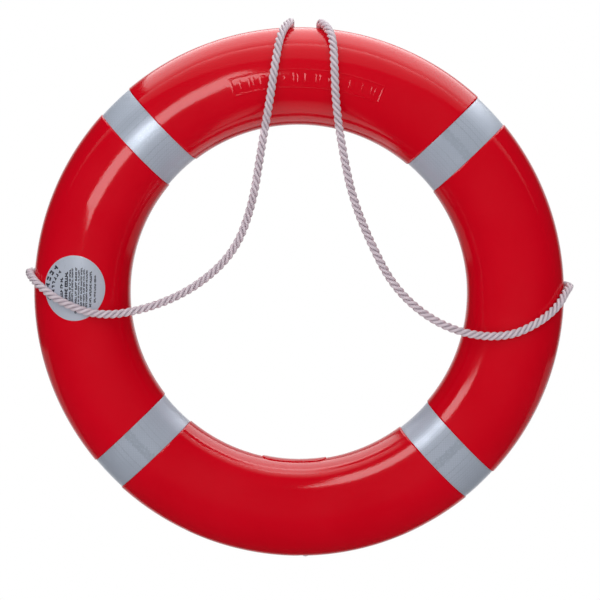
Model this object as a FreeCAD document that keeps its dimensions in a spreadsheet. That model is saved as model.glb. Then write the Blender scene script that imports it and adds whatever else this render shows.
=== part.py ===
"""Ring lifebuoy with a twisted grab line, modelled as separate pieces.

Units are millimetres. The ring's axis is Y and its front face looks towards -Y.
+Z is up, and the origin is the centre of the ring. Angles round the ring are
measured in the XZ plane from +X towards +Z, so the top eye is at 90 degrees.
"""
import FreeCAD, Part
import Sketcher
import math
import os

doc = FreeCAD.newDocument("ring_lifebuoy")

# ---------------------------------------------------------------------------
# Driving dimensions
# ---------------------------------------------------------------------------
DIMENSIONS = {
    "ring_od": 720.0,          # outside diameter of the ring
    "ring_id": 457.0,          # inside diameter, at the throat
    "ring_depth": 110.0,       # depth of the oval section
    "wall": 3.0,               # thickness of the moulded skin
    "tape_width": 50.0,        # retro-reflective band
    "tape_thick": 0.5,
    "recess_depth": 2.0,       # the bands lie in shallow recesses
    "recess_side_gap": 0.5,    # gap between a band and each side of its recess
    "sticker_dia": 88.0,       # round approval sticker
    "sticker_across": 82.0,    # its width seen from the front, because it bends over the curve
    "sticker_thick": 0.4,
    "sticker_radius": 299.5,   # distance of its centre from the ring's axis
    "sticker_rise": 3.2,       # how far its centre lies above the axis
    "panel_inner": 279.0,      # moulded name panel, an arc on the front
    "panel_outer": 304.0,
    "panel_span": 40.1,        # in degrees
    "panel_middle": 88.7,      # angle of its middle, a little off the top
    "panel_rib": 2.0,          # width of its border
    "panel_height": 0.6,       # how far the border stands up
    "cap_length": 87.0,        # cover of the foam filling port
    "cap_width": 22.0,
    "cap_proud": 1.5,
    "eye_block_width": 76.0,   # thick moulded material round each rope eye
    "eye_block_depth": 47.0,
    "eye_block_floor": 329.0,
    "tunnel_radius": 343.0,    # distance of the rope tunnel from the ring's axis
    "tunnel_back": 14.0,       # how far the tunnel lies behind the seam
    "tunnel_dia": 13.0,
    "pocket_centre": 20.0,     # pocket on each side of the tunnel's bridge
    "pocket_half_width": 10.5,
    "pocket_floor": 335.5,
    "notch_centre": 15.5,      # the rim is cut away ahead of one pocket of the bottom eye
    "notch_radius": 9.5,
    "notch_ahead": 4.5,
    "notch_floor": 345.0,
    "notch_block_floor": 339.0,
    "rope_dia": 11.0,          # twisted grab line
    "whipping_dia": 14.0,      # twine bound over the two joined ends of the line
    "whipping_length": 42.0,
}

sheet = doc.addObject("Spreadsheet::Sheet", "dimensions")
for row, (alias, value) in enumerate(DIMENSIONS.items(), start=1):
    sheet.set("A%d" % row, alias)
    sheet.set("B%d" % row, str(value))
    sheet.setAlias("B%d" % row, alias)
doc.recompute()

MID_RADIUS = "(dimensions.ring_od + dimensions.ring_id) / 4"
HALF_WIDTH = "(dimensions.ring_od - dimensions.ring_id) / 4"
HALF_DEPTH = "dimensions.ring_depth / 2"
BIG = 900.0
AXIS_Y = FreeCAD.Vector(0, 1, 0)


def dim(alias):
    """Value of one driving dimension, for the pieces whose shape is set directly."""
    return float(sheet.get(alias))


# ---------------------------------------------------------------------------
# Helpers for construction objects
# ---------------------------------------------------------------------------
def oval_ring(name, grow):
    """Solid ring of oval section, grown or shrunk all round by the expression grow."""
    profile = doc.addObject("Part::Ellipse", name + "_profile")
    profile.setExpression("MajorRadius", "%s + (%s)" % (HALF_WIDTH, grow))
    profile.setExpression("MinorRadius", "%s + (%s)" % (HALF_DEPTH, grow))
    profile.setExpression("Placement.Base.x", MID_RADIUS)
    ring = doc.addObject("Part::Revolution", name)
    ring.Source = profile
    ring.Axis = AXIS_Y
    ring.Base = FreeCAD.Vector(0, 0, 0)
    ring.Angle = 360.0
    ring.Solid = True
    return ring


def boolean(kind, name, base, tool):
    """Part::Cut or Part::Common of two objects."""
    result = doc.addObject("Part::" + kind, name)
    result.Base = base
    result.Tool = tool
    return result


def fuse(name, pieces):
    result = doc.addObject("Part::MultiFuse", name)
    result.Shapes = pieces
    return result


def diagonal_slab(name, degrees, width):
    """Slab through the whole ring along one diagonal, as wide as the expression width."""
    slab = doc.addObject("Part::Box", name)
    slab.Length = BIG
    slab.Width = BIG
    slab.setExpression("Height", width)
    turn = FreeCAD.Rotation(AXIS_Y, -degrees)
    slab.Placement = FreeCAD.Placement(FreeCAD.Vector(0, 0, 0), turn)
    slab.setExpression("Placement.Base.x", "-(%g) * cos(%g) + (%s) / 2 * sin(%g)"
                       % (BIG / 2, degrees, width, degrees))
    slab.setExpression("Placement.Base.z", "-(%g) * sin(%g) - (%s) / 2 * cos(%g)"
                       % (BIG / 2, degrees, width, degrees))
    slab.Placement.Base.y = -BIG / 2
    return slab


def radial_placement(degrees):
    """Turns the frame of the top eye to another place on the ring."""
    return FreeCAD.Placement(FreeCAD.Vector(0, 0, 0), FreeCAD.Rotation(AXIS_Y, 90 - degrees))


def half_space(name, front):
    box = doc.addObject("Part::Box", name)
    box.Length = BIG
    box.Width = BIG / 2
    box.Height = BIG
    start = -BIG / 2 if front else 0.0
    box.Placement.Base = FreeCAD.Vector(-BIG / 2, start, -BIG / 2)
    return box


# ---------------------------------------------------------------------------
# The ring: outer form with its four band recesses, and the foam space inside
# ---------------------------------------------------------------------------
RECESS_SLOT = "dimensions.tape_width + 2 * dimensions.recess_side_gap"

outer_full = oval_ring("outer_full", "0")
recess_limit = oval_ring("recess_limit", "5")
recess_floor = oval_ring("recess_floor", "-dimensions.recess_depth")
slab_rising = diagonal_slab("slab_rising", 45, RECESS_SLOT)
slab_falling = diagonal_slab("slab_falling", 135, RECESS_SLOT)
slabs = fuse("recess_slabs", [slab_rising, slab_falling])
recess_skin = boolean("Cut", "recess_skin", recess_limit, recess_floor)
recess_tool = boolean("Common", "recess_tool", recess_skin, slabs)
outer_form = boolean("Cut", "outer_form", outer_full, recess_tool)

cavity_full = oval_ring("cavity_full", "-dimensions.wall")
cavity_floor = oval_ring("cavity_floor", "-dimensions.wall - dimensions.recess_depth")
cavity_limit = oval_ring("cavity_limit", "1")
WIDE_SLOT = RECESS_SLOT + " + 2 * dimensions.wall"
wide_rising = diagonal_slab("wide_rising", 45, WIDE_SLOT)
wide_falling = diagonal_slab("wide_falling", 135, WIDE_SLOT)
wide_slabs = fuse("wide_slabs", [wide_rising, wide_falling])
cavity_skin = boolean("Cut", "cavity_skin", cavity_limit, cavity_floor)
cavity_tool = boolean("Common", "cavity_tool", cavity_skin, wide_slabs)
cavity = boolean("Cut", "cavity", cavity_full, cavity_tool)

# Rope eyes: a thick block of moulding at each quarter, with two pockets and a
# tunnel between them, so that a bridge of skin holds the line.
EYE_ANGLES = {"right": 0, "top": 90, "left": 180, "bottom": 270}


def eye_blocks():
    blocks = []
    for place, degrees in EYE_ANGLES.items():
        block = doc.addObject("Part::Box", "eye_block_" + place)
        block.setExpression("Length", "dimensions.eye_block_width")
        block.setExpression("Width", "dimensions.eye_block_depth")
        block.Height = 60.0
        local = FreeCAD.Vector(-dim("eye_block_width") / 2, 0, dim("eye_block_floor"))
        block.Placement = radial_placement(degrees).multiply(
            FreeCAD.Placement(local, FreeCAD.Rotation()))
        blocks.append(block)
    return fuse("eye_blocks", blocks)


def eye_cutters():
    """Pockets and tunnels of the four eyes."""
    cutters = []
    for place, degrees in EYE_ANGLES.items():
        turn = radial_placement(degrees)
        for side, sign in (("a", -1), ("b", 1)):
            centre = FreeCAD.Vector(sign * dim("pocket_centre"), dim("tunnel_back"), dim("pocket_floor"))
            front = doc.addObject("Part::Cylinder", "pocket_front_%s_%s" % (place, side))
            front.setExpression("Radius", "dimensions.pocket_half_width")
            front.Height = 60.0
            front.Placement = turn.multiply(FreeCAD.Placement(centre, FreeCAD.Rotation()))
            rear = doc.addObject("Part::Box", "pocket_rear_%s_%s" % (place, side))
            rear.setExpression("Length", "2 * dimensions.pocket_half_width")
            rear.Width = 60.0
            rear.Height = 60.0
            corner = centre - FreeCAD.Vector(dim("pocket_half_width"), 0, 0)
            rear.Placement = turn.multiply(FreeCAD.Placement(corner, FreeCAD.Rotation()))
            cutters.extend([front, rear])
        tunnel = doc.addObject("Part::Cylinder", "tunnel_" + place)
        tunnel.setExpression("Radius", "dimensions.tunnel_dia / 2")
        tunnel.setExpression("Height", "2 * dimensions.pocket_centre")
        start = FreeCAD.Vector(-dim("pocket_centre"), dim("tunnel_back"), dim("tunnel_radius"))
        along_x = FreeCAD.Rotation(AXIS_Y, 90)
        tunnel.Placement = turn.multiply(FreeCAD.Placement(start, along_x))
        cutters.append(tunnel)
    return fuse("eye_cutters", cutters)


def notch_shape(name, kind):
    """Block behind the rim notch of the bottom eye, or the round cutter of the notch."""
    turn = radial_placement(EYE_ANGLES["bottom"])
    if kind == "block":
        block = doc.addObject("Part::Box", name)
        block.Length = 2 * dim("notch_radius") + 8.0
        block.Width = dim("notch_radius") + dim("notch_ahead") + 4.0
        block.Height = 60.0
        corner = FreeCAD.Vector(-dim("notch_centre") - block.Length.Value / 2, -block.Width.Value,
                                dim("notch_block_floor"))
        block.Placement = turn.multiply(FreeCAD.Placement(corner, FreeCAD.Rotation()))
        return block
    cutter = doc.addObject("Part::Cylinder", name)
    cutter.setExpression("Radius", "dimensions.notch_radius")
    cutter.Height = 60.0
    centre = FreeCAD.Vector(-dim("notch_centre"), -dim("notch_ahead"), dim("notch_floor"))
    cutter.Placement = turn.multiply(FreeCAD.Placement(centre, FreeCAD.Rotation()))
    return cutter


blocks = eye_blocks()
cutters = fuse("all_cutters", [eye_cutters(), notch_shape("notch_rear", "cutter")])
notch_block = notch_shape("notch_block", "block")
notch_front = notch_shape("notch_front", "cutter")
blocks_in_form = boolean("Common", "blocks_in_form", outer_form, blocks)
skin_open = boolean("Cut", "skin_open", outer_form, cavity)
rear_half = half_space("rear_half", front=False)
front_half = half_space("front_half", front=True)

# Rear shell: the rear half of the skin with the four eyes moulded in.
rear_skin = boolean("Common", "rear_skin", skin_open, rear_half)
rear_with_blocks = fuse("rear_with_blocks", [rear_skin, blocks_in_form])
rear_shell = boolean("Cut", "rear_shell", rear_with_blocks, cutters)
rear_shell.Label = "rear_shell"

# Front shell: the front half of the skin with the raised border of the name panel.
front_skin = boolean("Common", "front_skin", skin_open, front_half)
notch_in_form = boolean("Common", "notch_in_form", outer_form, notch_block)
front_with_block = fuse("front_with_block", [front_skin, notch_in_form])
front_notched = boolean("Cut", "front_notched", front_with_block, notch_front)


def sector(name, radius, height, margin):
    """Wedge of a cylinder about the ring's axis, centred on the middle of the panel."""
    wedge = doc.addObject("Part::Cylinder", name)
    wedge.setExpression("Radius", radius)
    wedge.Height = height
    wedge.setExpression("Angle", "dimensions.panel_span - 2 * (%s)" % margin)
    half = (dim("panel_span") - 2 * margin) / 2
    lay = FreeCAD.Rotation(FreeCAD.Vector(1, 0, 0), 90)
    turn = FreeCAD.Rotation(AXIS_Y, half - dim("panel_middle"))
    wedge.Placement = FreeCAD.Placement(FreeCAD.Vector(0, 0, 0), turn.multiply(lay))
    return wedge


RIB_DEGREES = math.degrees(dim("panel_rib") / dim("panel_outer"))
sector_out = sector("sector_out", "dimensions.panel_outer", 100.0, 0.0)
sector_in = sector("sector_in", "dimensions.panel_inner", 100.0, -1.0)
window_out = sector("window_out", "dimensions.panel_outer - dimensions.panel_rib", 100.0, RIB_DEGREES)
window_in = sector("window_in", "dimensions.panel_inner + dimensions.panel_rib", 100.0, -1.0)
panel_area = boolean("Cut", "panel_area", sector_out, sector_in)
panel_window = boolean("Cut", "panel_window", window_out, window_in)
panel_outline = boolean("Cut", "panel_outline", panel_area, panel_window)
panel_top = oval_ring("panel_top", "dimensions.panel_height")
panel_root = oval_ring("panel_root", "-dimensions.wall / 2")
panel_layer = boolean("Cut", "panel_layer", panel_top, panel_root)
panel_rib = boolean("Common", "panel_border", panel_layer, panel_outline)
front_shell = fuse("front_shell", [front_notched, panel_rib])
front_shell.Label = "front_shell"

# Foam core: everything inside the skin, clear of the eye blocks.
all_blocks = fuse("all_blocks", [blocks, notch_block])
foam_core = boolean("Cut", "foam_core", cavity, all_blocks)
foam_core.Label = "foam_core"

# ---------------------------------------------------------------------------
# Four retro-reflective bands, each wrapped once round the section
# ---------------------------------------------------------------------------
band_top = oval_ring("band_top", "-dimensions.recess_depth + dimensions.tape_thick")
band_skin = boolean("Cut", "band_skin", band_top, recess_floor)
TAPE_ANGLES = {"upper_right": 45, "upper_left": 135, "lower_left": 225, "lower_right": 315}
tapes = []
for place, degrees in TAPE_ANGLES.items():
    strip = doc.addObject("Part::Box", "strip_" + place)
    strip.Length = BIG / 2
    strip.Width = BIG
    strip.setExpression("Height", "dimensions.tape_width")
    corner = FreeCAD.Vector(0, -BIG / 2, -dim("tape_width") / 2)
    outward = FreeCAD.Placement(FreeCAD.Vector(0, 0, 0), FreeCAD.Rotation(AXIS_Y, -degrees))
    strip.Placement = outward.multiply(FreeCAD.Placement(corner, FreeCAD.Rotation()))
    tape = boolean("Common", "tape_" + place, band_skin, strip)
    tape.Label = "tape_" + place
    tapes.append(tape)

# ---------------------------------------------------------------------------
# Round approval sticker, lying on the curve of the front at the left
# ---------------------------------------------------------------------------
sticker_top = oval_ring("sticker_top", "dimensions.sticker_thick")
sticker_skin = boolean("Cut", "sticker_skin", sticker_top, outer_full)
sticker_outline = doc.addObject("Part::Ellipse", "sticker_outline")
sticker_outline.setExpression("MajorRadius", "dimensions.sticker_dia / 2")
sticker_outline.setExpression("MinorRadius", "dimensions.sticker_across / 2")
upright = FreeCAD.Rotation(FreeCAD.Vector(0, 0, 1), FreeCAD.Vector(-1, 0, 0), FreeCAD.Vector(0, 1, 0), "ZXY")
sticker_outline.Placement = FreeCAD.Placement(
    FreeCAD.Vector(-dim("sticker_radius"), 0, dim("sticker_rise")), upright)
punch = doc.addObject("Part::Extrusion", "sticker_punch")
punch.Base = sticker_outline
punch.Dir = FreeCAD.Vector(0, -1, 0)
punch.LengthFwd = 100.0
punch.Solid = True
sticker = boolean("Common", "approval_sticker", sticker_skin, punch)
sticker.Label = "approval_sticker"

# ---------------------------------------------------------------------------
# Cover of the foam filling port: a long plate with round ends that follows the
# throat at the bottom of the hole
# ---------------------------------------------------------------------------
cap_body = doc.addObject("PartDesign::Body", "filler_plate")
cap_plane = next(f for f in cap_body.Origin.OriginFeatures if f.Role == "XY_Plane")
cap_sketch = cap_body.newObject("Sketcher::SketchObject", "filler_outline")
cap_sketch.AttachmentSupport = [(cap_plane, "")]
cap_sketch.MapMode = "FlatFace"
half_run = (dim("cap_length") - dim("cap_width")) / 2
half_cap = dim("cap_width") / 2
cap_sketch.addGeometry(Part.LineSegment(
    FreeCAD.Vector(-half_run, half_cap, 0), FreeCAD.Vector(half_run, half_cap, 0)), False)
cap_sketch.addGeometry(Part.LineSegment(
    FreeCAD.Vector(half_run, -half_cap, 0), FreeCAD.Vector(-half_run, -half_cap, 0)), False)
cap_sketch.addGeometry(Part.ArcOfCircle(
    Part.Circle(FreeCAD.Vector(half_run, 0, 0), FreeCAD.Vector(0, 0, 1), half_cap),
    -math.pi / 2, math.pi / 2), False)
cap_sketch.addGeometry(Part.ArcOfCircle(
    Part.Circle(FreeCAD.Vector(-half_run, 0, 0), FreeCAD.Vector(0, 0, 1), half_cap),
    math.pi / 2, 3 * math.pi / 2), False)
cap_sketch.addConstraint(Sketcher.Constraint("Tangent", 0, 2, 2, 2))
cap_sketch.addConstraint(Sketcher.Constraint("Tangent", 1, 1, 2, 1))
cap_sketch.addConstraint(Sketcher.Constraint("Tangent", 1, 2, 3, 2))
cap_sketch.addConstraint(Sketcher.Constraint("Tangent", 0, 1, 3, 1))
cap_sketch.addConstraint(Sketcher.Constraint("Equal", 2, 3))
cap_sketch.addConstraint(Sketcher.Constraint("Horizontal", 0))
cap_sketch.addConstraint(Sketcher.Constraint("Symmetric", 2, 3, 3, 3, -1, 1))
round_end = cap_sketch.addConstraint(Sketcher.Constraint("Radius", 2, half_cap))
straight = cap_sketch.addConstraint(Sketcher.Constraint("DistanceX", 3, 3, 2, 3, 2 * half_run))
cap_sketch.setExpression("Constraints[%d]" % round_end, "dimensions.cap_width / 2")
cap_sketch.setExpression("Constraints[%d]" % straight, "dimensions.cap_length - dimensions.cap_width")
cap_pad = cap_body.newObject("PartDesign::Pad", "filler_pad")
cap_pad.Profile = cap_sketch
cap_pad.Length = 60.0
cap_body.Placement = FreeCAD.Placement(FreeCAD.Vector(0, 0, -250), FreeCAD.Rotation())
cap_top = oval_ring("cap_top", "dimensions.cap_proud")
cap_layer = boolean("Cut", "cap_layer", cap_top, outer_full)
filler_cap = boolean("Common", "filler_cap", cap_layer, cap_body)
filler_cap.Label = "filler_cap"


# ---------------------------------------------------------------------------
# Grab line: one twisted rope through the four eyes, in the pieces between them
# ---------------------------------------------------------------------------
def rounded_path(points):
    """Straight runs joined by tangent arcs, each as large as its two runs allow."""
    edges = []
    radii = []
    start = points[0]
    for before, corner, after in zip(points, points[1:], points[2:]):
        into = (corner - before).normalize()
        away = (after - corner).normalize()
        turn = into.getAngle(away)
        reach = 0.45 * min((corner - before).Length, (after - corner).Length)
        radii.append(reach / math.tan(turn / 2))
        arc_start = corner - into * reach
        arc_end = corner + away * reach
        towards_centre = (away - into).normalize()
        depth = radii[-1] * (1 / math.cos(turn / 2) - 1)
        arc_middle = corner + towards_centre * depth
        edges.append(Part.LineSegment(start, arc_start).toShape())
        edges.append(Part.Arc(arc_start, arc_middle, arc_end).toShape())
        start = arc_end
    edges.append(Part.LineSegment(start, points[-1]).toShape())
    return Part.Wire(edges), radii


def rope(label, points, diameter):
    """Round tube along a rounded path, checked against its section times its length."""
    path, radii = rounded_path(points)
    first = (points[1] - points[0]).normalize()
    circle = Part.Wire(Part.Circle(points[0], first, diameter / 2).toShape())
    solid = path.makePipeShell([circle], True, True)
    expected = math.pi * diameter ** 2 / 4 * path.Length
    print("%-18s length %6.1f  volume/expected %.4f  least radius %5.1f"
          % (label, path.Length, solid.Volume / expected, min(radii)))
    tube = doc.addObject("Part::Feature", label)
    tube.Label = label
    tube.Shape = solid
    tube.Placement = FreeCAD.Placement()
    return tube


def on_ring(degrees, radius, back):
    """Point at an angle round the ring, a distance from its axis and behind its seam."""
    turn = math.radians(degrees)
    return FreeCAD.Vector(radius * math.cos(turn), back, radius * math.sin(turn))


def at_eye(place, along, back, radius):
    """Point given beside an eye: along the rim anticlockwise, back, and out from the axis."""
    turn = math.radians(EYE_ANGLES[place])
    out = FreeCAD.Vector(math.cos(turn), 0, math.sin(turn))
    side = FreeCAD.Vector(-math.sin(turn), 0, math.cos(turn))
    return out * radius + side * along + FreeCAD.Vector(0, back, 0)


def over_rim(place, sign, crest=19.0):
    """From the tunnel outwards through a pocket and forwards over the rim at crest."""
    back = dim("tunnel_back")
    return [
        at_eye(place, sign * 20.0, back, dim("tunnel_radius")),
        at_eye(place, sign * 20.0, back, dim("tunnel_radius") + 23.0),
        at_eye(place, sign * crest, -7.0, 365.7),
    ]


def to_rear(place, sign):
    """From the tunnel backwards through a pocket, towards the rear shoulder."""
    back = dim("tunnel_back")
    return [
        at_eye(place, sign * 13.0, back, dim("tunnel_radius")),
        at_eye(place, sign * 20.0, 27.0, 347.0),
    ]


# One side of the bottom eye: the line bulges out through its pocket before it turns back,
# so that it shows beyond the rim behind the notch.
BOTTOM_BUMP = [
    at_eye("bottom", 16.0, 14.0, 343.0),
    at_eye("bottom", 16.0, 14.0, 361.0),
    at_eye("bottom", 21.5, 27.0, 356.0),
]

EYE_ROPES = {
    "top": over_rim("top", 1, crest=19.5)[::-1] + over_rim("top", -1, crest=22.0),
    "left": over_rim("left", -1)[::-1] + to_rear("left", 1),
    "bottom": to_rear("bottom", -1)[::-1] + BOTTOM_BUMP,
    "right": over_rim("right", 1)[::-1] + to_rear("right", -1),
}
rope_dia = dim("rope_dia")
ropes = []
for place, points in EYE_ROPES.items():
    ropes.append(rope(place + "_eye_rope", points, rope_dia))

# The two upper lengths hang slack across the front. Each starts a little ahead
# of the rim, where the rope in the eye ends, and comes back to the next eye.
LEFT_LOOP = [
    at_eye("top", 19.5, -10.0, 365.7),
    FreeCAD.Vector(-25.0, -24.0, 362.5),
    FreeCAD.Vector(-32.0, -46.0, 345.0),
    FreeCAD.Vector(-36.5, -61.5, 311.0),
    FreeCAD.Vector(-42.4, -62.0, 262.0),
    FreeCAD.Vector(-52.5, -61.5, 196.0),
    FreeCAD.Vector(-62.2, -61.5, 121.3),
    FreeCAD.Vector(-85.2, -61.8, 56.3),
    FreeCAD.Vector(-137.8, -61.5, 7.3),
    FreeCAD.Vector(-199.0, -61.8, -21.2),
    FreeCAD.Vector(-262.0, -62.5, -33.6),
    FreeCAD.Vector(-314.5, -62.0, -16.5),
    FreeCAD.Vector(-347.5, -45.0, 4.0),
    FreeCAD.Vector(-361.5, -25.0, 15.0),
    at_eye("left", -19.0, -10.0, 365.7),
]
RIGHT_LOOP = [
    at_eye("top", -22.0, -10.0, 365.7),
    FreeCAD.Vector(30.0, -25.0, 362.5),
    FreeCAD.Vector(39.0, -46.0, 344.5),
    FreeCAD.Vector(42.0, -61.5, 311.0),
    FreeCAD.Vector(44.8, -62.0, 262.0),
    FreeCAD.Vector(54.4, -61.5, 203.0),
    FreeCAD.Vector(69.6, -61.5, 137.0),
    FreeCAD.Vector(94.8, -61.8, 77.3),
    FreeCAD.Vector(128.5, -61.5, 16.4),
    FreeCAD.Vector(178.6, -61.8, -26.0),
    FreeCAD.Vector(233.5, -61.5, -45.7),
    FreeCAD.Vector(284.0, -62.5, -45.3),
    FreeCAD.Vector(321.5, -61.0, -27.2),
    FreeCAD.Vector(349.5, -42.0, -5.2),
    FreeCAD.Vector(360.8, -25.5, 14.5),
    at_eye("right", 19.0, -10.0, 365.7),
]
ropes.append(rope("upper_left_loop", LEFT_LOOP, rope_dia))
ropes.append(rope("upper_right_loop", RIGHT_LOOP, rope_dia))


def rear_span(first, last, stations, start=None):
    """Rope along the rear shoulder from one eye to the next, anticlockwise."""
    turned = EYE_ANGLES[first]
    points = [start or to_rear(first, 1)[-1], at_eye(first, 27.0, 40.0, 351.0)]
    for degrees, radius, back in stations:
        points.append(on_ring(turned + degrees, radius, back))
    points.append(at_eye(last, -27.0, 40.0, 351.0))
    points.append(to_rear(last, -1)[-1])
    return points


LEFT_STATIONS = [
    (9.5, 352.0, 42.0), (19.5, 354.0, 41.0), (32.0, 353.0, 43.5), (45.5, 354.5, 42.0),
    (58.5, 353.0, 43.0), (70.5, 354.0, 41.5), (80.5, 352.0, 42.5),
]
RIGHT_STATIONS = [
    (9.5, 352.5, 42.0), (20.0, 354.0, 43.0), (31.0, 354.0, 41.0), (44.0, 353.5, 43.5),
    (57.0, 354.5, 42.0), (70.0, 353.0, 43.0), (80.5, 352.5, 41.5),
]
LEFT_SPAN = rear_span("left", "bottom", LEFT_STATIONS)
RIGHT_SPAN = rear_span("bottom", "right", RIGHT_STATIONS, start=BOTTOM_BUMP[-1])
ropes.append(rope("lower_left_span", LEFT_SPAN, rope_dia))
ropes.append(rope("lower_right_span", RIGHT_SPAN, rope_dia))


def end_whipping(span, corner):
    """Sleeve of twine bound over the two ends of the line, on the bend at one corner."""
    path = rounded_path(span)[0]
    bend = path.Edges[2 * corner - 1]
    middle = (bend.FirstParameter + bend.LastParameter) / 2
    half_turn = dim("whipping_length") / 2 / bend.Curve.Radius
    arc = Part.ArcOfCircle(bend.Curve, middle - half_turn, middle + half_turn).toShape()
    start = arc.valueAt(arc.FirstParameter)
    along = arc.tangentAt(arc.FirstParameter)
    solids = []
    for diameter in (dim("whipping_dia"), dim("rope_dia")):
        circle = Part.Wire(Part.Circle(start, along, diameter / 2).toShape())
        solids.append(Part.Wire([arc]).makePipeShell([circle], True, True))
    sleeve = doc.addObject("Part::Feature", "end_whipping")
    sleeve.Label = "end_whipping"
    sleeve.Shape = solids[0].cut(solids[1])
    sleeve.Placement = FreeCAD.Placement()
    return sleeve


ropes.append(end_whipping(RIGHT_SPAN, 4))


# ---------------------------------------------------------------------------
# Check everything, then write one file for each piece
# ---------------------------------------------------------------------------
doc.recompute()
pieces = [front_shell, rear_shell, foam_core] + tapes + [sticker, filler_cap] + ropes
for item in doc.Objects:
    if "Invalid" in item.State or "Error" in item.State:
        raise RuntimeError("%s failed: %s" % (item.Name, item.State))
for piece in pieces:
    if piece.Shape.isNull() or not piece.Shape.isValid():
        raise RuntimeError("%s has no valid shape" % piece.Label)

os.makedirs("parts", exist_ok=True)
for piece in pieces:
    solids = len(piece.Shape.Solids)
    print("%-18s solids %d  volume %10.1f mm3" % (piece.Label, solids, piece.Shape.Volume))
    piece.Shape.exportStep(os.path.join("parts", piece.Label + ".step"))
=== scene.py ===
"""Looks for the ring lifebuoy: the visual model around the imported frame.

The scene is in metres. Sizes of the ring, its rope and its fittings are written in
millimetres, as in the CAD model, and MM turns them into metres. The ring's axis is Y,
its front faces -Y, +Z is up, and the origin is its centre. Angles round the ring run
from +X towards +Z.
"""
import math

import bmesh
import bpy
import numpy as np
from mathutils import Matrix, Vector


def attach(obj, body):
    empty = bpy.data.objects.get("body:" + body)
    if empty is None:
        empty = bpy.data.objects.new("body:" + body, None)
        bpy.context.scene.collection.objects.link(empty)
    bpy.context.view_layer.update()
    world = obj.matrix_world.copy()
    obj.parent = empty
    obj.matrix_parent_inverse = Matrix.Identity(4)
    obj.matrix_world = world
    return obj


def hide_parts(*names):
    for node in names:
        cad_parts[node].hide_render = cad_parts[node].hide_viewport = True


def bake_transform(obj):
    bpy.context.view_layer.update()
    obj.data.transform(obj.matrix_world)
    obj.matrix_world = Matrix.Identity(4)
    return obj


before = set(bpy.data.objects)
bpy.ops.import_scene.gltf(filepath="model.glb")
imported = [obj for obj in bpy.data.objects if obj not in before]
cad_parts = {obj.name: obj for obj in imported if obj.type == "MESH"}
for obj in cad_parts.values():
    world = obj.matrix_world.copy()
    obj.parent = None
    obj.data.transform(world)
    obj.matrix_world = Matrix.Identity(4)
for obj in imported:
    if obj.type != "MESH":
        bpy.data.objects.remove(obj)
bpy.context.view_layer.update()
scene = bpy.context.scene

MM = 0.001
FULL_TURN = 2 * math.pi

# ---------------------------------------------------------------------------
# Camera: a long lens a little above and to the right of the ring's axis
# ---------------------------------------------------------------------------
CAMERA_DISTANCE = 3.5
CAMERA_ELEVATION = math.radians(4.6)
CAMERA_AZIMUTH = math.radians(1.6)
CAMERA_ROLL = math.radians(1.4)
CAMERA_LENS = 154.55

camera_data = bpy.data.cameras.new("camera")
camera = bpy.data.objects.new("camera", camera_data)
scene.collection.objects.link(camera)
camera.location = CAMERA_DISTANCE * Vector((
    math.sin(CAMERA_AZIMUTH) * math.cos(CAMERA_ELEVATION),
    -math.cos(CAMERA_AZIMUTH) * math.cos(CAMERA_ELEVATION),
    math.sin(CAMERA_ELEVATION)))
looking = (-camera.location).to_track_quat("-Z", "Y").to_matrix()
camera.rotation_euler = (looking @ Matrix.Rotation(CAMERA_ROLL, 3, "Z")).to_euler()
camera_data.lens = CAMERA_LENS
camera_data.sensor_width = 36.0
camera_data.shift_x = 0.0027
camera_data.shift_y = -0.0111
camera_data.clip_end = 50.0
scene.camera = camera

# ---------------------------------------------------------------------------
# Grab line: routes between the four eyes, in millimetres, as in the CAD model
# ---------------------------------------------------------------------------
ROPE_DIAMETER = 11.0
ROPE_LAY = 26.85
STRANDS = 3
EYE_ANGLES = {"right": 0.0, "top": 90.0, "left": 180.0, "bottom": 270.0}


def at_eye(place, along, back, radius):
    """Point beside an eye: along the rim anticlockwise, back, and out from the axis."""
    turn = math.radians(EYE_ANGLES[place])
    return (radius * math.cos(turn) - along * math.sin(turn),
            back,
            radius * math.sin(turn) + along * math.cos(turn))


def on_ring(degrees, radius, back):
    """Point at an angle round the ring, a distance from its axis and a depth."""
    turn = math.radians(degrees)
    return (radius * math.cos(turn), back, radius * math.sin(turn))


def over_rim(place, sign, crest=19.0):
    """From the tunnel outwards through a pocket and forwards over the rim."""
    return [
        at_eye(place, sign * 20.0, 14.0, 343.0),
        at_eye(place, sign * 20.0, 14.0, 366.0),
        at_eye(place, sign * crest, -7.0, 365.7),
    ]


def to_rear(place, sign):
    """From the tunnel backwards through a pocket, to the rear shoulder."""
    return [
        at_eye(place, sign * 13.0, 14.0, 343.0),
        at_eye(place, sign * 20.0, 27.0, 347.0),
        at_eye(place, sign * 27.0, 40.0, 351.0),
    ]


# Behind the bottom eye the line stands out a little before it turns back
BOTTOM_BUMP = [
    at_eye("bottom", 16.0, 14.0, 343.0),
    at_eye("bottom", 16.0, 14.0, 361.0),
    at_eye("bottom", 21.5, 27.0, 356.0),
    at_eye("bottom", 27.0, 40.0, 351.0),
]
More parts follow.
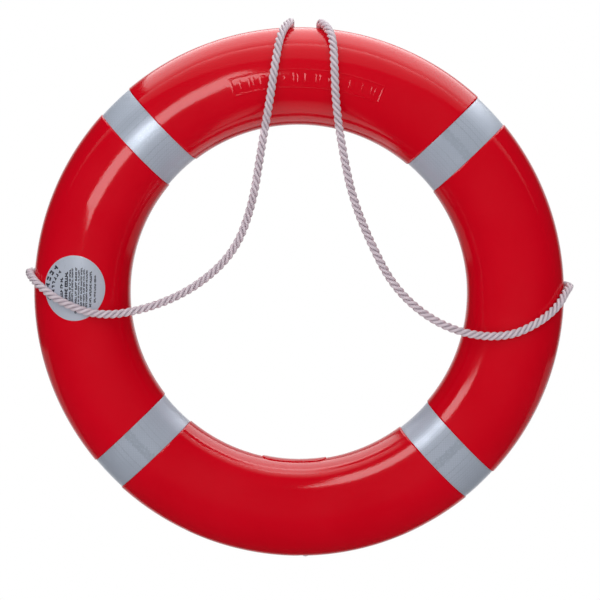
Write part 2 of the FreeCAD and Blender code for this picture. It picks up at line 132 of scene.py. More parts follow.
# Stations along the two lengths behind the ring: degrees past an eye, radius and depth
LEFT_STATIONS = [
    (9.5, 352.0, 42.0), (19.5, 354.0, 41.0), (32.0, 353.0, 43.5), (45.5, 354.5, 42.0),
    (58.5, 353.0, 43.0), (70.5, 354.0, 41.5), (80.5, 352.0, 42.5),
]
RIGHT_STATIONS = [
    (9.5, 352.5, 42.0), (20.0, 354.0, 43.0), (31.0, 354.0, 41.0), (44.0, 353.5, 43.5),
    (57.0, 354.5, 42.0), (70.0, 353.0, 43.0), (80.5, 352.5, 41.5),
]
LEFT_LOOP = [
    at_eye("top", 19.5, -10.0, 365.7),
    (-25.0, -24.0, 362.5),
    (-32.0, -46.0, 345.0),
    (-36.5, -61.5, 311.0),
    (-42.4, -62.0, 262.0),
    (-52.5, -61.5, 196.0),
    (-62.2, -61.5, 121.3),
    (-85.2, -61.8, 56.3),
    (-137.8, -61.5, 7.3),
    (-199.0, -61.8, -21.2),
    (-262.0, -62.5, -33.6),
    (-314.5, -62.0, -16.5),
    (-347.5, -45.0, 4.0),
    (-361.5, -25.0, 15.0),
    at_eye("left", -19.0, -10.0, 365.7),
]
RIGHT_LOOP = [
    at_eye("top", -22.0, -10.0, 365.7),
    (30.0, -25.0, 362.5),
    (39.0, -46.0, 344.5),
    (42.0, -61.5, 311.0),
    (44.8, -62.0, 262.0),
    (54.4, -61.5, 203.0),
    (69.6, -61.5, 137.0),
    (94.8, -61.8, 77.3),
    (128.5, -61.5, 16.4),
    (178.6, -61.8, -26.0),
    (233.5, -61.5, -45.7),
    (284.0, -62.5, -45.3),
    (321.5, -61.0, -27.2),
    (349.5, -42.0, -5.2),
    (360.8, -25.5, 14.5),
    at_eye("right", 19.0, -10.0, 365.7),
]
TOP_ROUTE = over_rim("top", -1, crest=22.0)[::-1] + over_rim("top", 1, crest=19.5)
LOWER_ROUTE = (
    over_rim("left", -1)[::-1] + to_rear("left", 1)
    + [on_ring(180.0 + a, r, y) for a, r, y in LEFT_STATIONS]
    + to_rear("bottom", -1)[::-1] + BOTTOM_BUMP
    + [on_ring(270.0 + a, r, y) for a, r, y in RIGHT_STATIONS]
    + to_rear("right", -1)[::-1] + over_rim("right", 1)
)


def spline_line(points):
    """Points along the NURBS spline whose control points are these, in metres."""
    curve = bpy.data.curves.new("route", "CURVE")
    curve.dimensions = "3D"
    curve.resolution_u = 16
    spline = curve.splines.new("NURBS")
    spline.points.add(len(points) - 1)
    for control, point in zip(spline.points, points):
        control.co = (point[0] * MM, point[1] * MM, point[2] * MM, 1.0)
    spline.order_u = 3
    spline.use_endpoint_u = True
    holder = bpy.data.objects.new("route", curve)
    mesh = bpy.data.meshes.new_from_object(holder)
    line = np.array([v.co for v in mesh.vertices])
    bpy.data.objects.remove(holder)
    bpy.data.curves.remove(curve)
    bpy.data.meshes.remove(mesh)
    return line


def resample(line, step):
    """The same line with evenly spaced points."""
    lengths = np.linalg.norm(np.diff(line, axis=0), axis=1)
    keep = np.concatenate([[True], lengths > 1e-7])
    line = line[keep]
    along = np.concatenate([[0], np.cumsum(np.linalg.norm(np.diff(line, axis=0), axis=1))])
    at = np.linspace(0, along[-1], max(2, round(along[-1] / step) + 1))
    return np.stack([np.interp(at, along, line[:, k]) for k in range(3)], axis=1)


def unit(vectors):
    return vectors / np.linalg.norm(vectors, axis=-1, keepdims=True)


def carried_frames(line):
    """Tangents of a line and two directions square to it that turn as little as they can."""
    tangents = unit(np.gradient(line, axis=0))
    side = np.cross(tangents[0], (0.0, 1.0, 0.3))
    sides = [side / np.linalg.norm(side)]
    for tangent in tangents[1:]:
        side = sides[-1] - tangent * np.dot(sides[-1], tangent)
        sides.append(side / np.linalg.norm(side))
    sides = np.array(sides)
    return tangents, sides, np.cross(tangents, sides)


POINTS_PER_STRAND = 14
STRAND_REACH = math.radians(150.0)
STRAND_SWELL = 1.06


def rope_outline():
    """Outline of strands laid together: each point's angle, and its share of the rope's radius."""
    strand = 1.0 / (1.0 + 2.0 / math.sqrt(3.0))
    centre = 1.0 - strand
    angles = []
    radii = []
    for k in range(STRANDS):
        middle = FULL_TURN * k / STRANDS
        for j in range(POINTS_PER_STRAND):
            local = STRAND_REACH * (2 * (j + 0.5) / POINTS_PER_STRAND - 1)
            x = centre + strand * STRAND_SWELL * math.cos(local)
            y = strand * STRAND_SWELL * math.sin(local)
            angles.append(middle + math.atan2(y, x))
            radii.append(math.hypot(x, y))
    return np.array(angles), np.array(radii)


def new_object(name, verts, faces, material):
    """Smooth-shaded mesh object, in metres."""
    mesh = bpy.data.meshes.new(name)
    mesh.from_pydata([tuple(v) for v in verts], [], [tuple(f) for f in faces])
    mesh.update()
    mesh.polygons.foreach_set("use_smooth", [True] * len(mesh.polygons))
    obj = bpy.data.objects.new(name, mesh)
    scene.collection.objects.link(obj)
    if material is not None:
        mesh.materials.append(material)
    return obj


def tube_faces(rings, sides):
    """Faces of a closed tube: quads between its rings, and a cap at each end."""
    i = np.arange(rings - 1)[:, None] * sides
    j = np.arange(sides)[None, :]
    k = (j + 1) % sides
    faces = np.stack([i + j, i + k, i + sides + k, i + sides + j], axis=-1).reshape(-1, 4).tolist()
    faces.append(list(range(sides))[::-1])
    faces.append([(rings - 1) * sides + n for n in range(sides)])
    return faces


def store_point_values(obj, crest, yarn):
    """Keeps for the material how high each point is above the grooves, which sets its painted shade, and its
    angle round the rope.
    """
    for name, values in (("crest", crest), ("yarn", yarn)):
        attribute = obj.data.attributes.new(name, "FLOAT", "POINT")
        attribute.data.foreach_set("value", values.astype(np.float32))


# One continuous rope: the four routes follow one another round the ring, so the
# strands run on from each piece into the next.
ROPE_STEP = 1.5 * MM
END_REACH = 1.5
ROUTES = [
    ("rope_through_top_eye", TOP_ROUTE),
    ("rope_left_loop", LEFT_LOOP),
    ("rope_behind_ring", LOWER_ROUTE),
    ("rope_right_loop", RIGHT_LOOP[::-1]),
]
rope_lines = [resample(spline_line(points), ROPE_STEP) for _, points in ROUTES]
whole = np.concatenate(rope_lines)
whole_along = np.concatenate([[0], np.cumsum(np.linalg.norm(np.diff(whole, axis=0), axis=1))])
_, whole_sides, whole_ups = carried_frames(whole)
drift = math.atan2(np.dot(whole_sides[-1], whole_ups[0]), np.dot(whole_sides[-1], whole_sides[0]))
turns = whole_along[-1] / (ROPE_LAY * MM)
third = FULL_TURN / STRANDS
whole_twist = round(turns * FULL_TURN / third) * third - drift
twist_rate = whole_twist / whole_along[-1]
TWIST_SIGN = -1.0


def rope_mesh(name, index, material):
    """Closed skin of a three-strand rope along one of the routes."""
    first = sum(len(line) for line in rope_lines[:index])
    line = rope_lines[index]
    count = len(line)
    span = slice(first, first + count)
    centres = line.copy()
    centres[0] -= unit(line[1] - line[0]) * END_REACH * MM
    centres[-1] += unit(line[-1] - line[-2]) * END_REACH * MM
    angles, radii = rope_outline()
    radius = ROPE_DIAMETER / 2 * MM
    turn = TWIST_SIGN * twist_rate * whole_along[span, None] + angles[None, :]
    outward = (np.cos(turn)[..., None] * whole_sides[span, None, :]
               + np.sin(turn)[..., None] * whole_ups[span, None, :])
    rings = centres[:, None, :] + radius * radii[None, :, None] * outward
    obj = new_object(name, rings.reshape(-1, 3), tube_faces(count, len(angles)), material)
    crest = (radii - radii.min()) / (radii.max() - radii.min())
    store_point_values(obj, np.tile(crest, count), turn.reshape(-1))
    return obj


# ---------------------------------------------------------------------------
# Materials
# ---------------------------------------------------------------------------
def new_ramp(nodes, ends):
    """Map Range node: from and to on its input, and the value at each."""
    ramp = nodes.new("ShaderNodeMapRange")
    for end, value in zip(("From Min", "From Max", "To Min", "To Max"), ends):
        ramp.inputs[end].default_value = value
    return ramp


class Paint:
    """A Principled material and short calls for the nodes that feed it."""

    def __init__(self, name, color, roughness, specular=0.5):
        self.mat = bpy.data.materials.new(name)
        self.mat.use_nodes = True
        self.nodes = self.mat.node_tree.nodes
        self.links = self.mat.node_tree.links
        self.shader = self.nodes["Principled BSDF"]
        self.shader.inputs["Base Color"].default_value = (*color, 1.0)
        self.shader.inputs["Roughness"].default_value = roughness
        self.shader.inputs["Specular IOR Level"].default_value = specular
        self.place = self.nodes.new("ShaderNodeTexCoord").outputs["Object"]
        self.normal = None

    def node(self, kind, **settings):
        """New node with these attributes set."""
        made = self.nodes.new(kind)
        for name, value in settings.items():
            setattr(made, name, value)
        return made

    def join(self, source, target):
        self.links.new(source, target)

    def noise(self, scale, detail, stretch=None):
        """Noise over the object, with its scale multiplied along each axis by stretch."""
        made = self.node("ShaderNodeTexNoise")
        made.inputs["Scale"].default_value = scale
        made.inputs["Detail"].default_value = detail
        source = self.place
        if stretch is not None:
            mapping = self.node("ShaderNodeMapping")
            mapping.inputs["Scale"].default_value = stretch
            self.join(source, mapping.inputs["Vector"])
            source = mapping.outputs["Vector"]
        self.join(source, made.inputs["Vector"])
        return made.outputs["Fac"]

    def attribute(self, name):
        return self.node("ShaderNodeAttribute", attribute_name=name).outputs["Fac"]

    def spread(self, source, low, high, start=0.35, stop=0.65):
        """A value from low to high as the source goes from start to stop."""
        made = new_ramp(self.nodes, (start, stop, low, high))
        self.join(source, made.inputs["Value"])
        return made.outputs["Result"]

    def math(self, operation, first, second=None):
        made = self.node("ShaderNodeMath", operation=operation)
        for socket, value in zip(made.inputs, (first, second)):
            if value is None:
                continue
            if isinstance(value, (int, float)):
                socket.default_value = value
            else:
                self.join(value, socket)
        return made.outputs["Value"]

    def mix(self, factor, first, second):
        """Colour between two colours, each a tuple or an earlier mix."""
        made = self.node("ShaderNodeMix", data_type="RGBA")
        self.join(factor, made.inputs["Factor"])
        for name, value in (("A", first), ("B", second)):
            socket = next(s for s in made.inputs if s.name == name and s.type == "RGBA")
            if isinstance(value, tuple):
                socket.default_value = (*value, 1.0)
            else:
                self.join(value, socket)
        return next(s for s in made.outputs if s.type == "RGBA")

    def color(self, source):
        self.join(source, self.shader.inputs["Base Color"])

    def roughness(self, source):
        self.join(source, self.shader.inputs["Roughness"])

    def bump(self, source, distance, strength=1.0):
        made = self.node("ShaderNodeBump")
        made.inputs["Distance"].default_value = distance
        made.inputs["Strength"].default_value = strength
        self.join(source, made.inputs["Height"])
        if self.normal is not None:
            self.join(self.normal, made.inputs["Normal"])
        self.normal = made.outputs["Normal"]
        self.join(self.normal, self.shader.inputs["Normal"])


def red_plastic():
    """Glossy moulded polyethylene with a slightly wavy skin."""
    paint = Paint("red_plastic", (0.8, 0.0005, 0.013), 0.2, 0.32)
    tone = paint.spread(paint.noise(7.0, 3.0), 0.0, 1.0)
    paint.color(paint.mix(tone, (0.78, 0.0004, 0.012), (0.82, 0.0006, 0.014)))
    paint.roughness(paint.spread(paint.noise(14.0, 5.0), 0.09, 0.13))
    paint.bump(paint.noise(16.0, 1.0), 0.0012, 0.5)
    paint.bump(paint.noise(420.0, 2.0), 0.00008, 0.5)
    return paint.mat


def reflective_tape():
    """Grey retro-reflective film: fine cells under a clear face, slightly soiled."""
    paint = Paint("reflective_tape", (0.56, 0.62, 0.73), 0.34, 0.5)
    cells = paint.node("ShaderNodeTexVoronoi", feature="DISTANCE_TO_EDGE")
    cells.inputs["Scale"].default_value = 420.0
    cells.inputs["Randomness"].default_value = 0.12
    paint.join(paint.place, cells.inputs["Vector"])
    wall = paint.spread(cells.outputs["Distance"], 0.0, 1.0, 0.02, 0.1)
    soil = paint.spread(paint.noise(18.0, 6.0), 0.0, 1.0, 0.4, 0.75)
    face = paint.mix(soil, (0.6, 0.66, 0.78), (0.5, 0.56, 0.67))
    paint.color(paint.mix(wall, (0.46, 0.52, 0.62), face))
    paint.roughness(paint.spread(soil, 0.28, 0.4, 0.0, 1.0))
    paint.bump(wall, 0.00006, 0.35)
    paint.shader.inputs["Metallic"].default_value = 0.15
    return paint.mat


def sticker_film():
    """Silvery printed film with a faint brushed grain."""
    paint = Paint("sticker_film", (0.62, 0.66, 0.78), 0.3, 0.5)
    grain = paint.spread(paint.noise(900.0, 3.0, (1.0, 1.0, 0.08)), 0.0, 1.0, 0.3, 0.7)
    cloud = paint.spread(paint.noise(25.0, 3.0), 0.0, 1.0, 0.3, 0.7)
    base = paint.mix(cloud, (0.58, 0.63, 0.74), (0.66, 0.7, 0.81))
    paint.color(paint.mix(grain, base, (0.62, 0.67, 0.78)))
    paint.roughness(paint.spread(grain, 0.26, 0.38, 0.0, 1.0))
    paint.shader.inputs["Metallic"].default_value = 0.1
    return paint.mat


def sticker_ink():
    """Matt black print, slightly worn."""
    paint = Paint("sticker_ink", (0.03, 0.03, 0.05), 0.45, 0.3)
    fade = paint.spread(paint.noise(500.0, 3.0), 0.0, 1.0, 0.3, 0.8)
    paint.color(paint.mix(fade, (0.015, 0.015, 0.03), (0.04, 0.04, 0.065)))
    return paint.mat


def rope_fibre(name, light, dark, yarns):
    """White polypropylene: painted shade in the grooves between strands, and fine yarns along the rope."""
    paint = Paint(name, light, 0.55, 0.35)
    crest = paint.spread(paint.attribute("crest"), 0.0, 1.0, 0.0, 1.0)
    wave = paint.math("SINE", paint.math("MULTIPLY", paint.attribute("yarn"), float(yarns)))
    wave = paint.spread(wave, 0.0, 1.0, -1.0, 1.0)
    fibre = paint.noise(2600.0, 4.0)
    soil = paint.spread(paint.noise(30.0, 4.0), 0.0, 1.0, 0.35, 0.7)
    clean = paint.mix(soil, light, tuple(c * 0.88 for c in light))
    # Painted shade: the dark colour fills the grooves between strands, where crest is low
    body = paint.mix(crest, dark, clean)
    paint.color(paint.mix(paint.math("MULTIPLY", wave, 0.18), body, tuple(c * 0.72 for c in light)))
    paint.bump(wave, 0.00022, 0.7)
    paint.bump(fibre, 0.0001, 0.5)
    paint.shader.inputs["Sheen Weight"].default_value = 0.15
    paint.shader.inputs["Sheen Roughness"].default_value = 0.5
    return paint.mat


def foam():
    """Closed-cell filling, inside the skin."""
    paint = Paint("foam", (0.75, 0.62, 0.38), 0.8, 0.2)
    cells = paint.noise(700.0, 4.0)
    paint.color(paint.mix(cells, (0.66, 0.52, 0.3), (0.8, 0.68, 0.44)))
    paint.bump(cells, 0.0004, 0.6)
    return paint.mat


RED = red_plastic()
TAPE = reflective_tape()
FILM = sticker_film()
INK = sticker_ink()
# The second colour of each is the painted shade in its grooves
ROPE = rope_fibre("rope_fibre", (0.95, 0.82, 0.9), (0.54, 0.44, 0.51), 34)
TWINE = rope_fibre("whipping_twine", (0.78, 0.76, 0.77), (0.4, 0.36, 0.4), 9)
FOAM = foam()

# ---------------------------------------------------------------------------
# The ring's form: an oval section turned round the axis, in eight sectors
# ---------------------------------------------------------------------------
MID_RADIUS = 294.25
HALF_WIDTH = 65.75
HALF_DEPTH = 55.0
WALL = 3.0
RECESS_DEPTH = 2.0
RECESS_HALF = 25.5
RECESS_STEP = 0.82
SEAM_GROOVE_DEPTH = 0.45
SEAM_GROOVE_HALF = 1.3
PARALLEL_HALF = 34.0
PARALLEL_FADE = 50.0
SECTORS = 8
TOP_SECTOR = 2
BOTTOM_SECTOR = 6
SECTOR_RUN = MID_RADIUS * math.radians(180.0 / SECTORS)


def smooth(value):
    """0 below 0, 1 above 1 and a smooth step between."""
    value = np.clip(value, 0.0, 1.0)
    return value * value * (3 - 2 * value)


def section_point(t, rise):
    """Distance from the axis and depth of the oval section at t, raised along its normal."""
    out = np.cos(t) / HALF_WIDTH
    front = np.sin(t) / HALF_DEPTH
    size = np.hypot(out, front)
    radius = MID_RADIUS + HALF_WIDTH * np.cos(t) + rise * out / size
    back = -(HALF_DEPTH * np.sin(t) + rise * front / size)
    return radius, back


def local_form(u, t, rise):
    """Across, back and height in a sector's own frame; near its middle lines of equal u are parallel."""
    radius, back = section_point(t, rise)
    parallel = np.arcsin(u / radius)
    radial = u / MID_RADIUS
    turn = parallel + (radial - parallel) * smooth((np.abs(u) - PARALLEL_HALF) / PARALLEL_FADE)
    return radius * np.sin(turn), back + 0 * u, radius * np.cos(turn)


def place_in_ring(across, back, height, centre):
    """The same points turned from a sector's own frame to its place in the ring."""
    return np.stack([
        height * np.cos(centre) - across * np.sin(centre),
        back,
        height * np.sin(centre) + across * np.cos(centre)], axis=-1)


def half_steps(marks, last, step):
    """Marks, then even steps as far as last."""
    count = max(1, round((last - marks[-1]) / step))
    return list(marks) + list(np.linspace(marks[-1], last, count + 1)[1:])


def both_ways(half):
    """Columns from minus the last to just short of plus the last."""
    return np.array([-value for value in half[:0:-1]] + list(half[:-1]))


RECESS_COLUMNS = (0, 5, 10, 15, 20, 23.5, 25.0, 25.45, 25.5, 25.55, 25.7, 26.0, 26.5, 27.5, 29, 32, 36)
BAND_COLUMNS = both_ways(half_steps(RECESS_COLUMNS, SECTOR_RUN, 5.0))
PLAIN_COLUMNS = both_ways(half_steps((0,), SECTOR_RUN, 5.0))


def close_mesh(name, verts, faces, material):
    """Object from quads of a closed skin in millimetres, its faces turned outwards."""
    verts = np.asarray(verts) * MM
    faces = np.asarray(faces)
    a, b, c, d = (verts[faces[:, k]] for k in range(4))
    volume = (np.einsum("ij,ij->i", a, np.cross(b, c)) + np.einsum("ij,ij->i", a, np.cross(c, d))).sum()
    if volume < 0:
        faces = faces[:, ::-1]
    return new_object(name, verts, faces.tolist(), material)


def weld(obj):
    """Joins points that lie on each other, which closes the middle of a disc."""
    shape = bmesh.new()
    shape.from_mesh(obj.data)
    bmesh.ops.remove_doubles(shape, verts=shape.verts, dist=1e-6)
    shape.to_mesh(obj.data)
    shape.free()
    return obj


def loop_faces(columns, rows):
    """Quads of a grid that closes on itself both ways."""
    i = np.arange(columns)[:, None]
    j = np.arange(rows)[None, :]
    right = (i + 1) % columns
    up = (j + 1) % rows
    corners = [i * rows + j, right * rows + j, right * rows + up, i * rows + up]
    return np.stack(corners, axis=-1).reshape(-1, 4)


def recess(u):
    """Share of the recess depth at a distance from a band's middle line: a step, then a short ramp."""
    step = smooth((np.abs(u) - (RECESS_HALF - 0.05)) / 0.1)
    ramp = smooth(np.abs(u) - RECESS_HALF)
    return 1.0 - step * RECESS_STEP - ramp * (1.0 - RECESS_STEP)


def shell(name, sectors, outer_rows, inner_rows, detail):
    """Closed half of the skin: its outside, its inside and the two faces at the seam."""
    parts = []
    for index in range(SECTORS):
        columns = sectors(index)
        centre = math.radians(360.0 / SECTORS * index)
        u = columns[:, None]
        banded = index % 2 == 1
        sunk = recess(u) * RECESS_DEPTH if banded else 0.0 * u
        t = outer_rows[None, :]
        seam = np.abs(HALF_DEPTH * np.sin(t))
        rise = -sunk - SEAM_GROOVE_DEPTH * (1.0 - smooth(seam / SEAM_GROOVE_HALF))
        across, back, height = local_form(u + 0 * t, t + 0 * u, rise)
        across, back, height = detail(index, across, back, height, True)
        outside = place_in_ring(across, back, height, centre)
        t = inner_rows[None, :]
        across, back, height = local_form(u + 0 * t, t + 0 * u, -WALL - sunk)
        across, back, height = detail(index, across, back, height, False)
        inside = place_in_ring(across, back, height, centre)
        parts.append(np.concatenate([outside, inside], axis=1))
    grid = np.concatenate(parts, axis=0)
    columns, rows = grid.shape[:2]
    return close_mesh(name, grid.reshape(-1, 3), loop_faces(columns, rows), RED)


# Angles of the section's rows beside the seam
SEAM_MARKS = [0.0, 0.012, 0.025, 0.04, 0.07]

# Front shell: a raised border and generic raised blocks in the name panel
PANEL_INNER = 279.0
PANEL_OUTER = 304.0
PANEL_HALF_ANGLE = math.radians(20.05)
PANEL_MIDDLE = math.radians(-1.3)
PANEL_RIB = 2.0
PANEL_HEIGHT = 0.45
BLOCK_HEIGHT = 0.3
BLOCK_LOW = 285.0
BLOCK_HIGH = 298.5
BLOCKS_HALF_ANGLE = math.radians(17.6)
# Strokes of each block: from, to across the block; low, high share of its height
STROKES = {
    "bar": [(-1.4, 1.4, 0, 1)],
    "pair": [(-4.0, -1.4, 0, 1), (1.4, 4.0, 0, 1)],
    "short": [(-1.4, 1.4, 0.3, 0.7)],
    "stack": [(-3.6, 3.6, 0, 0.26), (-3.6, 3.6, 0.74, 1)],
    "slab": [(-3.8, 3.8, 0, 1)],
}
PANEL_BLOCKS = [
    "bar", "pair", "slab", "stack", "short", "pair", "slab", "pair", "short", "stack", "slab", "bar", "pair",
]
EDGE_WIDTH = 0.45
STROKE_EDGE_WIDTH = 1.1


def inside_step(distance, width=EDGE_WIDTH):
    """0 outside an edge, rising to 1 over a width inside it."""
    return smooth(distance / width)


def panel_rise(turn, radius):
    """How far the name panel's border and blocks stand up, by angle from the top and radius."""
    turn = turn - PANEL_MIDDLE
    run = radius * turn
    edge = np.minimum(np.minimum(radius - PANEL_INNER, PANEL_OUTER - radius),
                      radius * PANEL_HALF_ANGLE - np.abs(run))
    rise = PANEL_HEIGHT * inside_step(edge) * (1 - inside_step(edge - PANEL_RIB + EDGE_WIDTH))
    pitch = 2 * BLOCKS_HALF_ANGLE / (len(PANEL_BLOCKS) - 1)
    for k, kind in enumerate(PANEL_BLOCKS):
        centre = BLOCKS_HALF_ANGLE - k * pitch
        local = (centre - turn) * radius
        for left, right, low, high in STROKES[kind]:
            low_radius = BLOCK_LOW + low * (BLOCK_HIGH - BLOCK_LOW)
            high_radius = BLOCK_LOW + high * (BLOCK_HIGH - BLOCK_LOW)
            depth = np.minimum(np.minimum(local - left, right - local),
                               np.minimum(radius - low_radius, high_radius - radius))
            rise = np.maximum(rise, BLOCK_HEIGHT * inside_step(depth, STROKE_EDGE_WIDTH))
    return rise


NOTCH_ACROSS = 15.5
NOTCH_AHEAD = 4.5
NOTCH_RADIUS = 9.5
NOTCH_FLOOR = 345.0
NOTCH_BLOCK_FLOOR = 339.0
NOTCH_BLOCK_REACH = 3.0
RIM_SIDE = 250.0
WALL_START = 0.35
WALL_WIDTH = 1.5
BLOCK_SLOPE = 4.0


def sink(height, floor, reach):
    """Lowers the rim to a floor where reach is below zero, with a short slope round it."""
    lowered = np.minimum(height, floor)
    sunk = lowered + (height - lowered) * smooth((reach + WALL_START) / WALL_WIDTH)
    return np.where(height > RIM_SIDE, sunk, height)


def thicken(height, floor, reach):
    """Lowers the skin's inside to a floor where reach is below zero, with a long slope round it."""
    solid = 1.0 - smooth(reach / BLOCK_SLOPE)
    return height + (np.minimum(height, floor) - height) * solid


def notch_reach(across, back):
    """Distance outside the round notch ahead of one pocket of the bottom eye."""
    return np.hypot(across - NOTCH_ACROSS, back + NOTCH_AHEAD) - NOTCH_RADIUS


def front_detail(index, across, back, height, outside):
    """Shapes the front shell: the name panel at the top and the notch at the bottom."""
    if index == BOTTOM_SECTOR and outside:
        return across, back, sink(height, NOTCH_FLOOR, notch_reach(across, back))
    if index == BOTTOM_SECTOR:
        reach = notch_reach(across, back) - NOTCH_BLOCK_REACH
        return across, back, thicken(height, NOTCH_BLOCK_FLOOR, reach)
    if index != TOP_SECTOR or not outside:
        return across, back, height
    radius = np.hypot(across, height)
    return across, back - panel_rise(np.arctan2(across, height), radius), height


def row_of(radius):
    """Place on the front of the section at a distance from the ring's axis."""
    return math.acos((radius - MID_RADIUS) / HALF_WIDTH)


panel_rows = [row_of(r) for r in np.arange(PANEL_OUTER + 0.4, PANEL_INNER - 0.5, -0.45)]
front_rows = np.array(
    half_steps(half_steps(SEAM_MARKS, 0.33, 0.013), panel_rows[0], 0.036)[:-1] + panel_rows
    + list(math.pi - np.array(half_steps(SEAM_MARKS, math.pi - panel_rows[-1], 0.036)[:-1]))[::-1])
front_inner_rows = np.linspace(math.pi, 0.0, 40)
top_columns = both_ways(half_steps(half_steps((0,), 111.0, 0.75), SECTOR_RUN, 2.5))
notch_columns = both_ways(half_steps(half_steps((0,), 30.0, 0.6), SECTOR_RUN, 5.0))


def front_sectors(index):
    """Columns of a front sector: fine ones where the panel and the notch are."""
    if index == TOP_SECTOR:
        return top_columns
    if index == BOTTOM_SECTOR:
        return notch_columns
    return BAND_COLUMNS if index % 2 else PLAIN_COLUMNS


front_shell = shell("front_skin", front_sectors, front_rows, front_inner_rows, front_detail)

# Rear shell: the four rope eyes, each a bridge of moulding between two pockets
TUNNEL_RADIUS = 343.0
TUNNEL_BACK = 14.0
TUNNEL_DIAMETER = 13.0
POCKET_CENTRE = 20.0
POCKET_HALF = 10.5
POCKET_FLOOR = 335.5
BLOCK_HALF = 38.0
BLOCK_FLOOR = 329.0


def rear_detail(index, across, back, height, outside):
    """Shapes the rear shell: two pockets at each eye, and solid moulding behind them."""
    if index % 2:
        return across, back, height
    if not outside:
        return across, back, thicken(height, BLOCK_FLOOR, np.abs(across) - BLOCK_HALF + BLOCK_SLOPE / 2)
    beside = np.abs(across) - POCKET_CENTRE
    reach = np.where(back < TUNNEL_BACK, np.hypot(beside, back - TUNNEL_BACK), np.abs(beside)) - POCKET_HALF
    sunk = sink(height, POCKET_FLOOR, reach)
    if index == BOTTOM_SECTOR:
        sunk = np.minimum(sunk, sink(height, NOTCH_FLOOR, notch_reach(across, back)))
    return across, back, sunk


eye_half = half_steps(half_steps((0, 4, 7.6), 11.2, 0.45), 28.8, 1.1)
eye_half = half_steps(half_steps(half_steps(eye_half, 32.4, 0.45), 42.0, 2.0), SECTOR_RUN, 5.0)
EYE_COLUMNS = both_ways(eye_half)


def rear_sectors(index):
    """Columns of a rear sector: fine ones at the walls of the pockets."""
    return BAND_COLUMNS if index % 2 else EYE_COLUMNS


eye_rows = [math.asin(y / HALF_DEPTH) for y in np.arange(2.2, 47.0, 0.6)]
rear_rows = FULL_TURN - np.array(
    SEAM_MARKS[:-1] + half_steps(eye_rows, math.pi - SEAM_MARKS[-1], 0.045)
    + [math.pi - mark for mark in SEAM_MARKS[:-1][::-1]])
rear_inner_rows = np.linspace(math.pi, FULL_TURN, 60)
rear_shell = shell("rear_skin", rear_sectors, rear_rows, rear_inner_rows, rear_detail)


def cylinder_mesh(name, start, end, radius, sides=40):
    """Closed round bar between two points."""
    line = np.array([start, end], dtype=float)
    axis = unit(line[1] - line[0])
    side = unit(np.cross(axis, (0.0, 1.0, 0.0)))
    up = np.cross(axis, side)
    turn = np.linspace(0, FULL_TURN, sides, endpoint=False)
    ring = radius * (np.cos(turn)[:, None] * side + np.sin(turn)[:, None] * up)
    verts = np.concatenate([line[0] + ring, line[1] + ring]) * MM
    faces = [(k, (k + 1) % sides, sides + (k + 1) % sides, sides + k) for k in range(sides)]
    faces.append(tuple(range(sides))[::-1])
    faces.append(tuple(range(sides, 2 * sides)))
    return new_object(name, verts, faces, None)


def cut_away(target, cutter):
    """Takes one closed mesh out of another."""
    modifier = target.modifiers.new("cut", "BOOLEAN")
    modifier.operation = "DIFFERENCE"
    modifier.solver = "EXACT"
    modifier.object = cutter
    graph = bpy.context.evaluated_depsgraph_get()
    mesh = bpy.data.meshes.new_from_object(target.evaluated_get(graph))
    target.modifiers.clear()
    target.data = mesh
    bpy.data.objects.remove(cutter)


for place in EYE_ANGLES:
    bore = cylinder_mesh(
        "bore", at_eye(place, -POCKET_CENTRE, TUNNEL_BACK, TUNNEL_RADIUS),
        at_eye(place, POCKET_CENTRE, TUNNEL_BACK, TUNNEL_RADIUS), TUNNEL_DIAMETER / 2)
    cut_away(rear_shell, bore)

# ---------------------------------------------------------------------------
# Reflective bands: each wraps once round the section and laps over itself behind
# ---------------------------------------------------------------------------
TAPE_HALF = 25.0
TAPE_THICK = 0.5
LAP_START = math.radians(262.0)
LAP_END = math.radians(281.0)
LAP_RISE = 0.42
LAP_EDGE = 0.003
# Across one half of a tape: distance in from its edge, and how far its rounded edge drops
EDGE_MARKS = [(0.0, 0.2), (0.15, 0.04), (0.5, 0.0), (5.0, 0.0), (11.0, 0.0), (18.0, 0.0)]


def tape(name, degrees):
    """Closed strip wrapped once round the section in its recess, its ends lapped behind."""
    edge = np.array([-2, -1, 0, 1, 2]) * LAP_EDGE
    rows = np.sort(np.concatenate([
        np.linspace(0, FULL_TURN, 150, endpoint=False), LAP_START + edge[:4], LAP_END + edge[1:]]))
    half = [mark - TAPE_HALF for mark, _ in EDGE_MARKS]
    half_drop = [drop for _, drop in EDGE_MARKS]
    top = np.array(half + [0.0] + [-u for u in half[::-1]])
    drop = np.array(half_drop + [0.0] + half_drop[::-1])
    under = top[::-1]
    lap = smooth((rows - LAP_START) / LAP_EDGE) * (1 - smooth((rows - LAP_END) / LAP_EDGE))
    rise_top = -RECESS_DEPTH + TAPE_THICK + LAP_RISE * lap[None, :] - drop[:, None]
    rise_under = np.full((len(under), len(rows)), -RECESS_DEPTH)
    u = np.concatenate([top, under])[:, None] + 0 * rows[None, :]
    t = rows[None, :] + 0 * u
    across, back, height = local_form(u, t, np.concatenate([rise_top, rise_under]))
    grid = place_in_ring(across, back, height, math.radians(degrees))
    return close_mesh(name, grid.reshape(-1, 3), loop_faces(*grid.shape[:2]), TAPE)


tapes = {
    "tape_upper_right": tape("band_upper_right", 45.0),
    "tape_upper_left": tape("band_upper_left", 135.0),
    "tape_lower_left": tape("band_lower_left", 225.0),
    "tape_lower_right": tape("band_lower_right", 315.0),
}

# ---------------------------------------------------------------------------
# Approval sticker, with generic dark marks in place of its print
# ---------------------------------------------------------------------------
STICKER_X = -299.5
STICKER_Z = 3.2
STICKER_HALF_ACROSS = 41.0
STICKER_HALF_HEIGHT = 44.0
STICKER_THICK = 0.4
MARK_THICK = 0.16
MARK_PROUD = 0.07


